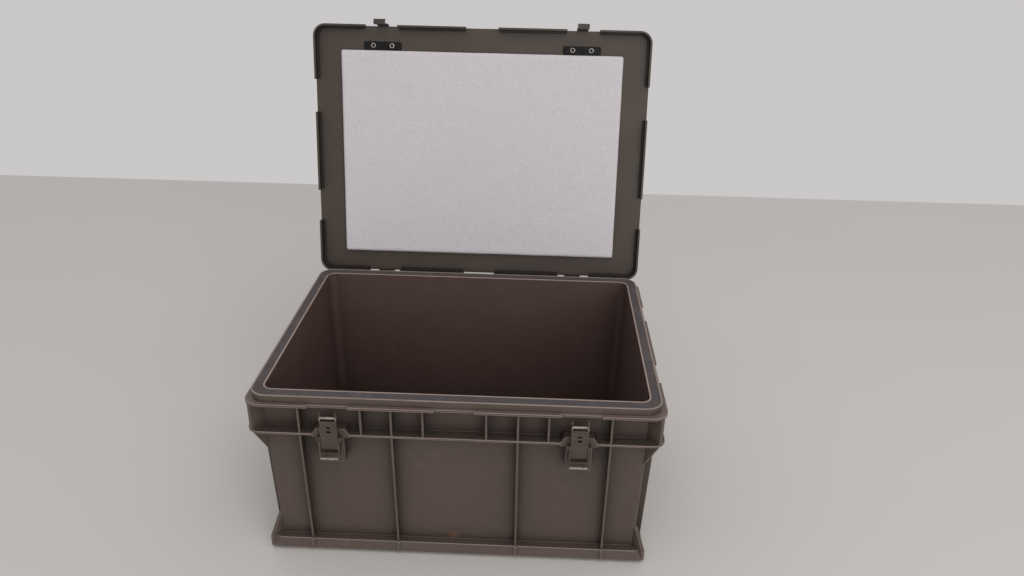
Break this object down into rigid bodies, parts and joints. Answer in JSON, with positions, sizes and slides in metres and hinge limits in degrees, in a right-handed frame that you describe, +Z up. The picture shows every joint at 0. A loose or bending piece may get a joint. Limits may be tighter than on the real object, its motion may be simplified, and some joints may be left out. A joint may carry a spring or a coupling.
{
  "type": "attached lid tote",
  "caption": "Rectangular plastic stacking tote with a hinged lined lid and draw latches, shown open.",
  "frame": {"origin": "centre of the tote footprint on the plane its base ribs and foot stand on", "axes": "+X to the right seen from the latch side, +Y from the latches towards the hinges, +Z up"},
  "size_m": [0.4, 0.3801, 0.4861],
  "materials": {
    "tote_plastic": "moulded polypropylene, dark olive grey-brown, slightly worn",
    "lid_plastic": "moulded polypropylene, fine matt texture",
    "seal_rubber": "grey sponge rubber",
    "liner_foam": "pale grey closed-cell foam with a soft skin",
    "backing_steel": "black painted steel",
    "latch_steel": "olive-grey painted steel, worn on its edges",
    "hinge_steel": "dark painted steel",
    "rivet_steel": "dull zinc-plated steel"
  },
  "bodies": {
    "tote": {"tote_body": "tote_plastic", "rim_seal": "seal_rubber", "latch_base_left": "latch_steel", "latch_base_right": "latch_steel", "latch_rivets": "rivet_steel", "hinge_body_rivets": "rivet_steel", "lever_studs_left": "rivet_steel", "lever_studs_right": "rivet_steel", "hinge_pin_left": "rivet_steel", "hinge_pin_right": "rivet_steel", "hinge_body_leaf_left": "hinge_steel", "hinge_body_leaf_right": "hinge_steel"},
    "lid": {"lid": "lid_plastic", "lid_liner": "liner_foam", "backing_plate_left": "backing_steel", "backing_plate_right": "backing_steel", "hinge_lid_strap_left": "hinge_steel", "hinge_lid_strap_right": "hinge_steel", "keeper_left": "latch_steel", "keeper_right": "latch_steel", "keeper_rivets": "rivet_steel", "hinge_lid_rivets": "rivet_steel"},
    "lever_left": {"latch_lever_left": "latch_steel", "claw_pin_left": "rivet_steel"},
    "claw_left": {"latch_claw_left": "latch_steel"},
    "lever_right": {"latch_lever_right": "latch_steel", "claw_pin_right": "rivet_steel"},
    "claw_right": {"latch_claw_right": "latch_steel"}
  },
  "joints": [
    {"name": "lid_hinge", "type": "hinge", "parent": "tote", "child": "lid", "pos_m": [0, 0.153, 0.1805], "axis": [-1, 0, 0], "range_deg": [-100, 0]},
    {"name": "lever_left_turn", "type": "hinge", "parent": "tote", "child": "lever_left", "pos_m": [-0.118, -0.1529, 0.148], "axis": [-1, 0, 0], "range_deg": [0, 115]},
    {"name": "claw_left_turn", "type": "hinge", "parent": "lever_left", "child": "claw_left", "pos_m": [-0.118, -0.1524, 0.138], "axis": [1, 0, 0], "range_deg": [0, 104]},
    {"name": "lever_right_turn", "type": "hinge", "parent": "tote", "child": "lever_right", "pos_m": [0.118, -0.1529, 0.148], "axis": [-1, 0, 0], "range_deg": [0, 115]},
    {"name": "claw_right_turn", "type": "hinge", "parent": "lever_right", "child": "claw_right", "pos_m": [0.118, -0.1524, 0.138], "axis": [1, 0, 0], "range_deg": [0, 104]}
  ],
  "couplings": [
    {"joint": "claw_left_turn", "follows": "lever_left_turn", "ratio": 0.9},
    {"joint": "claw_right_turn", "follows": "lever_right_turn", "ratio": 0.9}
  ]
}
